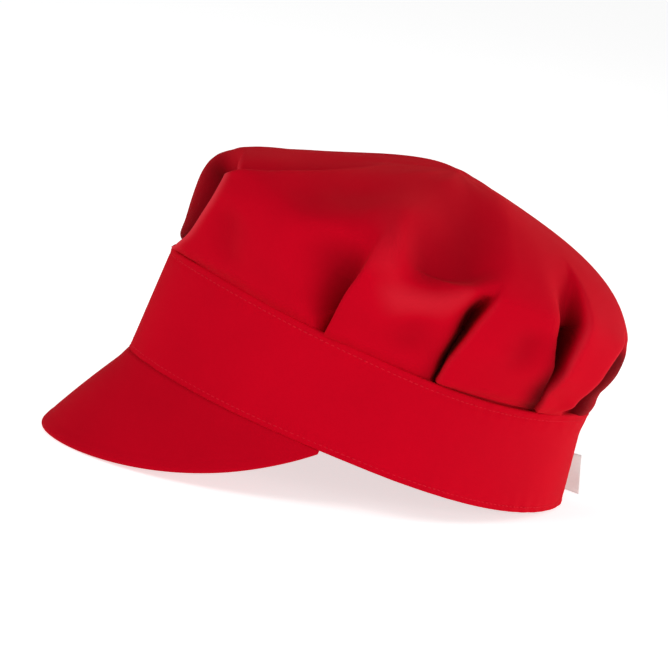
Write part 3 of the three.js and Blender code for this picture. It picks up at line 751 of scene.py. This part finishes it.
# %% The band and the peak as meshes
def closed_loop_piece(name, points, uv_mm):
    """A skin over rings that close on themselves and join end to end."""
    faces = grid_faces(points.shape[0], points.shape[1], True).tolist()
    flat = points.reshape(-1, 3)
    return make_piece(name, flat, facing_out(flat, faces), uv_mm.reshape(-1, 2))


def capped_piece(name, points, uv_mm):
    """A skin over rings that close on themselves, with the first and the last ring filled."""
    stations, around = points.shape[:2]
    ends = [list(range(around))[::-1], list(range((stations - 1) * around, stations * around))]
    faces = grid_faces(stations, around, False).tolist() + ends
    flat = points.reshape(-1, 3)
    return make_piece(name, flat, facing_out(flat, faces), uv_mm.reshape(-1, 2))


MEAN_RADIUS = 93.4
band_u = np.broadcast_to(band_phi[None, :] * MEAN_RADIUS, band_points.shape[:2])
band_uv = np.stack([band_u, band_s * BAND_HEIGHT + 0 * band_u], axis=-1)
band = closed_loop_piece("band_cloth", band_points, band_uv)

peak_uv = np.stack([peak_grid[..., 0], peak_grid[..., 1] + peak_grid[..., 2]], axis=-1)
peak = capped_piece("peak_cloth", peak_grid, peak_uv)

# %% [markdown]
# The tab is a short strip of white tape folded double and caught in the back seam. Its section is a
# rounded loop, a little thicker at the fold, and it bows slightly to one side, as soft tape does. A
# flat card would be simpler, but its thin straight edge would look like paper.

# %% The tab
TAB_HEIGHT, TAB_REACH, TAB_TOP_REACH, TAB_THICKNESS = 17.0, 9.0, 6.3, 1.1
TAB_BOTTOM, TAB_BOW, TAB_GAP, TAB_PRESSED = 6.0, 0.8, 0.4, 0.7


def tab_points(stations=13, steps=15):
    """Loop round the folded tape at each height: out along one layer, round the fold, and back."""
    z = np.linspace(TAB_BOTTOM, TAB_BOTTOM + TAB_HEIGHT, stations)[:, None]
    start = band_point(np.pi, z / BAND_HEIGHT)[..., 1] + TAB_GAP
    straight = np.linspace(0.0, 1.0, steps)
    turn = np.linspace(0.0, np.pi, 7)[1:-1]
    share = np.concatenate([straight, np.ones(len(turn)), straight[::-1]])
    side = np.concatenate([np.ones(steps), np.cos(turn), -np.ones(steps)])
    beyond = np.concatenate([np.zeros(steps), np.sin(turn), np.zeros(steps)])
    half = TAB_THICKNESS / 2 * between(TAB_PRESSED, 1.0, share)
    rise = (z - TAB_BOTTOM) / TAB_HEIGHT
    y = start + share * (between(TAB_REACH, TAB_TOP_REACH, rise) - TAB_THICKNESS / 2) + beyond * half
    x = side * half + TAB_BOW * share**2 * np.cos(rise * np.pi) + 0 * y
    return np.stack([x, y, z + 0 * y], axis=-1)


tab_grid = tab_points()
tab_uv = np.stack([tab_grid[..., 1], tab_grid[..., 2]], axis=-1)
tab = capped_piece("label_tape", tab_grid, tab_uv)

# %% [markdown]
# Stitches are modelled one by one, as small beads of thread, and joined into one mesh. A bead is an
# ellipsoid on a coarse grid. Its place, its direction and the way it faces come from the band's own
# surface, at equal steps of the length round the hat, and each one is turned a little off the line.

# %% Stitches
STITCH_LENGTH, STITCH_THICKNESS, STITCH_RAISED, STITCH_WANDER = 1.9, 0.42, 0.05, 4.0
BEAD_RINGS, BEAD_SIDES, BEAD_BLUNTNESS, LINE_POINTS = 5, 6, 0.6, 4001


def bead():
    """Unit bead: rings at cos(angle) along it, sin(angle)^0.6 thick, and two poles, with its faces."""
    angle = np.pi * (np.arange(BEAD_RINGS) + 1) / (BEAD_RINGS + 1)
    side = FULL_TURN * np.arange(BEAD_SIDES) / BEAD_SIDES
    thick = np.sin(angle)[:, None] ** BEAD_BLUNTNESS
    rings = np.stack([np.cos(angle)[:, None] + 0 * side, thick * np.cos(side), thick * np.sin(side)],
                     axis=-1).reshape(-1, 3)
    points = np.concatenate([rings, [[1.0, 0.0, 0.0], [-1.0, 0.0, 0.0]]])
    body = grid_faces(BEAD_RINGS, BEAD_SIDES, False).tolist()
    last, n = (BEAD_RINGS - 1) * BEAD_SIDES, BEAD_RINGS * BEAD_SIDES
    start = [[n, (i + 1) % BEAD_SIDES, i] for i in range(BEAD_SIDES)]
    end = [[n + 1, last + i, last + (i + 1) % BEAD_SIDES] for i in range(BEAD_SIDES)]
    return points, facing_out(points, body + start + end)


def stitch_line(rise_from_low=None, drop_from_top=None):
    """Centre, direction and outward normal of each stitch along one line round the band. The line's
    length is summed up from short steps, and the stitches lie at equal shares of it."""
    phi = np.linspace(0.0, FULL_TURN, LINE_POINTS)
    low, high = band_heights(phi)
    z = low + rise_from_low if rise_from_low is not None else high - drop_from_top
    s = (z - low) / (high - low)
    line = band_point(phi, s, band_relief(phi, s))
    length = np.concatenate([[0.0], np.cumsum(np.linalg.norm(np.diff(line, axis=0), axis=-1))])
    count = int(round(length[-1] / STITCH_PITCH))
    at = (np.arange(count) + 0.5) * length[-1] / count
    centre, further = (np.stack([np.interp(place, length, line[:, k]) for k in range(3)], axis=-1)
                       for place in (at, (at + 0.5) % length[-1]))
    ahead = unit(further - centre)
    return centre, ahead, unit(np.cross(ahead, UPWARD))


def stitch_points(centre, ahead, outward, seed):
    """Every bead at its place: length along the line, half sunk in the cloth, slightly turned."""
    draw = np.random.default_rng(seed)
    points, faces = bead()
    across = np.cross(outward, ahead)
    angle = np.radians(draw.normal(0.0, STITCH_WANDER, len(centre)))[:, None]
    along = ahead * np.cos(angle) + across * np.sin(angle)
    across = np.cross(outward, along)
    x = points[None, :, :1] * STITCH_LENGTH / 2
    y = points[None, :, 1:2] * STITCH_THICKNESS / 2
    z = points[None, :, 2:] * STITCH_THICKNESS / 2 + STITCH_RAISED
    placed = centre[:, None] + along[:, None] * x + across[:, None] * y + outward[:, None] * z
    all_faces = [[index + k * len(points) for index in face] for k in range(len(centre)) for face in faces]
    return placed.reshape(-1, 3), all_faces


def stitches(name, line, seed):
    """One joined mesh of all the stitches of a line."""
    points, faces = stitch_points(*line, seed)
    return make_piece(name, points, faces, points[:, :2])


top_stitches = stitches("top_stitches", stitch_line(drop_from_top=TOP_STITCH_DROP), 31)
low_stitches = stitches("low_stitches", stitch_line(rise_from_low=LOW_STITCH_RISE), 32)

# %% [markdown]
# The cloth is a fine plain weave. One node group makes the weave for every piece: two sets of threads
# cross, and a checker decides which lies on top. It reads the UV map, which is in metres, so the
# threads have their real size on every piece. A second group gives the slow changes of colour that
# dyed cotton shows, and paints shade into the folds and highlights along their lips. The shader itself
# stays in each material. A picture of cloth laid over the hat would be quicker, but it would show its
# pixels close up and its seams where the map ends.

# %% Node helpers
def group_tree(name, inputs, outputs):
    """A shader node group with named float, colour or vector sockets."""
    tree = bpy.data.node_groups.new(name, "ShaderNodeTree")
    kinds = {"value": "NodeSocketFloat", "color": "NodeSocketColor", "vector": "NodeSocketVector"}
    for title, kind, default in inputs:
        socket = tree.interface.new_socket(title, in_out="INPUT", socket_type=kinds[kind])
        if default is not None:
            socket.default_value = default
    for title, kind in outputs:
        tree.interface.new_socket(title, in_out="OUTPUT", socket_type=kinds[kind])
    return tree, tree.nodes.new("NodeGroupInput"), tree.nodes.new("NodeGroupOutput")


def math_node(tree, operation, *values):
    """A Math node whose inputs are numbers or sockets."""
    node = tree.nodes.new("ShaderNodeMath")
    node.operation = operation
    for socket, value in zip(node.inputs, values):
        if isinstance(value, (int, float)):
            socket.default_value = value
        else:
            tree.links.new(value, socket)
    return node.outputs[0]


def colour_mix(tree, factor, first, second):
    """The first colour, moved towards the constant second one by the factor."""
    mix = tree.nodes.new("ShaderNodeMix")
    mix.data_type = "RGBA"
    tree.links.new(factor, mix.inputs[0])
    tree.links.new(first, mix.inputs[6])
    mix.inputs[7].default_value = second
    return mix.outputs[2]


print("node helpers ready: group_tree, math_node, colour_mix")

# %% [markdown]
# In a plain weave each thread passes over one crossing thread and under the next. |sin| of the place
# across the threads is a row of round ridges, one for each thread, and the product of the two sines
# changes its sign from one crossing to the next, which is the checker.

# %% The weave group
def make_weave_group():
    """Height of a plain weave: warp and weft ridges, each on top where the checker says so."""
    tree, given, result = group_tree(
        "plain_weave",
        [("Cloth", "vector", None), ("Threads per metre", "value", 2600.0)],
        [("Height", "value")])
    split = tree.nodes.new("ShaderNodeSeparateXYZ")
    tree.links.new(given.outputs["Cloth"], split.inputs[0])
    count = given.outputs["Threads per metre"]
    turns = [math_node(tree, "MULTIPLY", split.outputs[k], count) for k in range(2)]
    half_turns = [math_node(tree, "MULTIPLY", turn, float(np.pi)) for turn in turns]
    sines = [math_node(tree, "SINE", half) for half in half_turns]
    ridges = [math_node(tree, "ABSOLUTE", sine) for sine in sines]
    product = math_node(tree, "MULTIPLY", sines[0], sines[1])
    checker = math_node(tree, "ADD", math_node(tree, "MULTIPLY", product, 0.5), 0.5)
    warp = math_node(tree, "MULTIPLY", ridges[0], checker)
    weft = math_node(tree, "MULTIPLY", ridges[1], math_node(tree, "SUBTRACT", 1.0, checker))
    tree.links.new(math_node(tree, "ADD", warp, weft), result.inputs["Height"])
    return tree


weave_group = make_weave_group()
print("node group", weave_group.name, "with", len(weave_group.nodes), "nodes")

# %% [markdown]
# Red cloth looks deeper down in a fold, where light arrives only after it has met red cloth many
# times, and this group paints that shade into the colour. It also paints a highlight, paler cloth,
# along each folded lip. Both masks were stored in the crown's mesh. A piece that has no such mask
# reads 0 there, so the same group serves every piece.

# %% The dye and painted light group
# Colours of the painted shade in the folds and of the painted highlight along their lips.
SHADE_RED, HIGHLIGHT_RED = (0.06, 0.0002, 0.0012, 1.0), (0.80, 0.05, 0.07, 1.0)
SLOW_NOISE = {"Scale": 28.0, "Detail": 3.0}
FINE_NOISE = {"Scale": 900.0, "Detail": 2.0}
SLOW_SHARE = 0.7


def make_dye_and_light_group():
    """Base colour with slow, faint changes of strength and a finer fleck of the threads. It has painted
    shade, deeper red, where Shade is 1, down in a fold, and a painted highlight, paler red, where Edge
    is 1, along a folded lip."""
    tree, given, result = group_tree(
        "dye_and_painted_light",
        [("Place", "vector", None), ("Base", "color", (0.5, 0.003, 0.015, 1)),
         ("Unevenness", "value", 0.1), ("Shade", "value", 0.0), ("Edge", "value", 0.0)],
        [("Color", "color")])
    slow, fine = (tree.nodes.new("ShaderNodeTexNoise") for _ in range(2))
    for noise, settings in ((slow, SLOW_NOISE), (fine, FINE_NOISE)):
        tree.links.new(given.outputs["Place"], noise.inputs["Vector"])
        for socket, value in settings.items():
            noise.inputs[socket].default_value = value
    mixed = math_node(tree, "ADD", math_node(tree, "MULTIPLY", slow.outputs["Fac"], SLOW_SHARE),
                      math_node(tree, "MULTIPLY", fine.outputs["Fac"], 1.0 - SLOW_SHARE))
    centred = math_node(tree, "SUBTRACT", mixed, 0.5)
    value = math_node(tree, "ADD", math_node(tree, "MULTIPLY", centred, given.outputs["Unevenness"]), 1.0)
    scale = tree.nodes.new("ShaderNodeVectorMath")
    scale.operation = "SCALE"
    tree.links.new(given.outputs["Base"], scale.inputs[0])
    tree.links.new(value, scale.inputs["Scale"])
    # Painted shade, then a painted highlight, laid over the dyed colour.
    deeper = colour_mix(tree, given.outputs["Shade"], scale.outputs[0], SHADE_RED)
    paler = colour_mix(tree, given.outputs["Edge"], deeper, HIGHLIGHT_RED)
    tree.links.new(paler, result.inputs["Color"])
    return tree


dye_and_light_group = make_dye_and_light_group()
print("node group", dye_and_light_group.name, "with", len(dye_and_light_group.nodes), "nodes")

# %% [markdown]
# Cotton is matt: it has almost no mirror-like shine, but its loose fibres catch light that grazes the
# cloth, which the sheen gives. The crown and the band are the same cloth, the peak is drawn smooth and
# has pressed most of its fibres flat, the thread is a shade paler, and the tape is a coarser white
# weave. Every one of them is the same material with other numbers.

# %% The cloth materials
UNEVENNESS, SHINE, SHEEN_ROUGHNESS = 0.25, 0.03, 0.35


def cloth_material(name, base, threads, bump, sheen, tint, roughness):
    """Dyed woven cloth: colour from the dye group with its painted shade and highlights, bump from the
    weave, sheen for the loose fibres.
    """
    material = bpy.data.materials.new(name)
    material.use_nodes = True
    tree = material.node_tree
    shader = tree.nodes["Principled BSDF"]
    place = tree.nodes.new("ShaderNodeTexCoord")
    cloth = tree.nodes.new("ShaderNodeUVMap")
    cloth.uv_map = "cloth_metres"
    weave = tree.nodes.new("ShaderNodeGroup")
    weave.node_tree = weave_group
    weave.inputs["Threads per metre"].default_value = threads
    tree.links.new(cloth.outputs["UV"], weave.inputs["Cloth"])
    dye_and_light = tree.nodes.new("ShaderNodeGroup")
    dye_and_light.node_tree = dye_and_light_group
    dye_and_light.inputs["Base"].default_value = (*base, 1.0)
    dye_and_light.inputs["Unevenness"].default_value = UNEVENNESS
    tree.links.new(place.outputs["Object"], dye_and_light.inputs["Place"])
    # The crown's masks of painted shade and painted highlight; other pieces read 0.
    for mask_name, socket in (("fold_shade", "Shade"), ("painted_highlight", "Edge")):
        mask = tree.nodes.new("ShaderNodeAttribute")
        mask.attribute_name = mask_name
        tree.links.new(mask.outputs["Fac"], dye_and_light.inputs[socket])
    raised = tree.nodes.new("ShaderNodeBump")
    raised.inputs["Strength"].default_value = 1.0
    raised.inputs["Distance"].default_value = bump
    tree.links.new(weave.outputs["Height"], raised.inputs["Height"])
    tree.links.new(raised.outputs["Normal"], shader.inputs["Normal"])
    tree.links.new(dye_and_light.outputs["Color"], shader.inputs["Base Color"])
    shader.inputs["Roughness"].default_value = roughness
    shader.inputs["Specular IOR Level"].default_value = SHINE
    shader.inputs["Sheen Weight"].default_value = sheen
    shader.inputs["Sheen Roughness"].default_value = SHEEN_ROUGHNESS
    shader.inputs["Sheen Tint"].default_value = (*tint, 1.0)
    print("material", name, "with", round(threads / 1000, 1), "threads to a millimetre")
    return material


RED, SMOOTH_RED, THREAD_RED = (0.60, 0.0005, 0.0125), (0.55, 0.0004, 0.0115), (0.70, 0.012, 0.03)
WHITE, SHEEN_RED, SHEEN_WHITE = (0.82, 0.81, 0.78), (1.0, 0.12, 0.09), (1.0, 1.0, 1.0)

# name: colour, threads in a metre, height of their ridges in metres, sheen, its tint, roughness
FINISHES = {
    "crown_red": (RED, 2600.0, 0.00006, 0.14, SHEEN_RED, 0.85),
    "band_red": (RED, 2600.0, 0.00006, 0.14, SHEEN_RED, 0.85),
    "peak_red": (SMOOTH_RED, 2600.0, 0.00005, 0.10, SHEEN_RED, 0.8),
    "thread_red": (THREAD_RED, 9000.0, 0.00003, 0.3, SHEEN_RED, 0.7),
    "tape_white": (WHITE, 1700.0, 0.00010, 0.2, SHEEN_WHITE, 0.7),
}
crown_material, band_material, peak_material, thread_material, tape_material = (
    cloth_material(name, *finish) for name, finish in FINISHES.items())

# %% [markdown]
# Each piece now says which solid it stands for and which body it rides on. The crown's flat cut is a
# circle whose radius is the length of the cloth from the apex to the sewn edge.

# %% Tie the pieces to the frame
def dress(piece, material, slot, *nodes):
    """Material and body of one piece, and the solids that it replaces. The slot is not used."""
    piece.data.materials.append(material)
    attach(piece, "root")
    if nodes:
        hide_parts(*nodes)


dress(crown, crown_material, "crown_cloth", "crown")
dress(band, band_material, "band_cloth", "band")
dress(peak, peak_material, "peak_cloth", "peak")
dress(tab, tape_material, "white_tape", "label_tab")
dress(top_stitches, thread_material, "band_cloth")
dress(low_stitches, thread_material, "band_cloth")

# %% [markdown]
# The photograph's ground is plain white. A wide round floor of pale matt paint stands for it, a hair
# below the table's level. It glows a little, and more for the camera than for the hat, so that it
# shows white all over and yet doesn't light the hat from below as a lamp would. A real photographer
# lights the paper behind an object for the same reason.

# %% Floor
FLOOR_RADIUS, FLOOR_DROP, FLOOR_CORNERS = 30.0, 0.0003, 96
ring = FULL_TURN * np.arange(FLOOR_CORNERS) / FLOOR_CORNERS
floor_points = np.stack([FLOOR_RADIUS * np.cos(ring), FLOOR_RADIUS * np.sin(ring), 0 * ring - FLOOR_DROP],
                        axis=-1)
floor_mesh = bpy.data.meshes.new("floor")
floor_mesh.from_pydata(floor_points.tolist(), [], [list(range(FLOOR_CORNERS))])
floor = bpy.data.objects.new("floor", floor_mesh)
bpy.context.scene.collection.objects.link(floor)
floor_material = bpy.data.materials.new("pale_floor")
floor_material.use_nodes = True
floor_shader = floor_material.node_tree.nodes["Principled BSDF"]
floor_shader.inputs["Base Color"].default_value = (0.86, 0.86, 0.86, 1.0)
floor_shader.inputs["Roughness"].default_value = 0.9
floor_shader.inputs["Specular IOR Level"].default_value = 0.1
floor_shader.inputs["Emission Strength"].default_value = 0.66
floor_glow = floor_material.node_tree.nodes.new("ShaderNodeMix")
floor_glow.data_type = "RGBA"
floor_glow.inputs[6].default_value = (0.60, 0.60, 0.60, 1.0)
floor_glow.inputs[7].default_value = (1.0, 1.0, 1.0, 1.0)
floor_path = floor_material.node_tree.nodes.new("ShaderNodeLightPath")
floor_links = floor_material.node_tree.links
floor_links.new(floor_path.outputs["Is Camera Ray"], floor_glow.inputs[0])
floor_links.new(floor_glow.outputs[2], floor_shader.inputs["Emission Color"])
floor_mesh.materials.append(floor_material)
print("floor", 2 * FLOOR_RADIUS, "m across,", round(FLOOR_DROP / MM, 1), "mm below the hat")

# %% [markdown]
# Three large soft lights stand round the hat, named for the side of the picture that they light from.
# The left one, before the hat and high up, lights the peak and the front folds. The right one, at the
# wearer's left rear, and the back one stand low, so they graze the crown and leave the inside of each
# pleat in shade, as in the photograph. An even pale surround fills the rest. The camera sees that
# surround as white, which makes it one with the floor.

# %% Light
HAT_MIDDLE = Vector((0.0, 0.0, 0.06))
LIGHT_DISTANCE, LIGHT_SIZE = 1.7, 0.8
SURROUND_STRENGTH, BACKDROP_STRENGTH = 0.33, 1.2


def soft_light(name, azimuth, elevation, power):
    """A square area light that looks at the hat from a direction given in degrees, like phi."""
    a, e = np.radians(azimuth), np.radians(elevation)
    back = Vector((np.sin(a) * np.cos(e), -np.cos(a) * np.cos(e), np.sin(e)))
    data = bpy.data.lights.new(name, "AREA")
    data.size, data.energy = LIGHT_SIZE, power
    light = bpy.data.objects.new(name, data)
    light.location = HAT_MIDDLE + back * LIGHT_DISTANCE
    light.rotation_mode = "QUATERNION"
    light.rotation_quaternion = back.to_track_quat("Z", "Y")
    bpy.context.scene.collection.objects.link(light)
    print("light", name, power, "W, at", azimuth, "degrees round and", elevation, "up")


soft_light("left", 25.0, 37.0, 9.2)
soft_light("right", 125.0, 8.0, 10.5)
soft_light("back", 195.0, 10.0, 12.0)

world = bpy.data.worlds.new("pale_surround")
world.use_nodes = True
ambient = world.node_tree.nodes["Background"]
ambient.inputs["Color"].default_value = (1.0, 1.0, 1.0, 1.0)
ambient.inputs["Strength"].default_value = SURROUND_STRENGTH
backdrop = world.node_tree.nodes.new("ShaderNodeBackground")
backdrop.inputs["Color"].default_value = (1.0, 1.0, 1.0, 1.0)
backdrop.inputs["Strength"].default_value = BACKDROP_STRENGTH
path = world.node_tree.nodes.new("ShaderNodeLightPath")
chosen = world.node_tree.nodes.new("ShaderNodeMixShader")
world_links = world.node_tree.links
world_links.new(path.outputs["Is Camera Ray"], chosen.inputs["Fac"])
world_links.new(ambient.outputs[0], chosen.inputs[1])
world_links.new(backdrop.outputs[0], chosen.inputs[2])
world_links.new(chosen.outputs[0], world.node_tree.nodes["World Output"].inputs["Surface"])
bpy.context.scene.world = world
bpy.context.scene.view_settings.view_transform = "Standard"
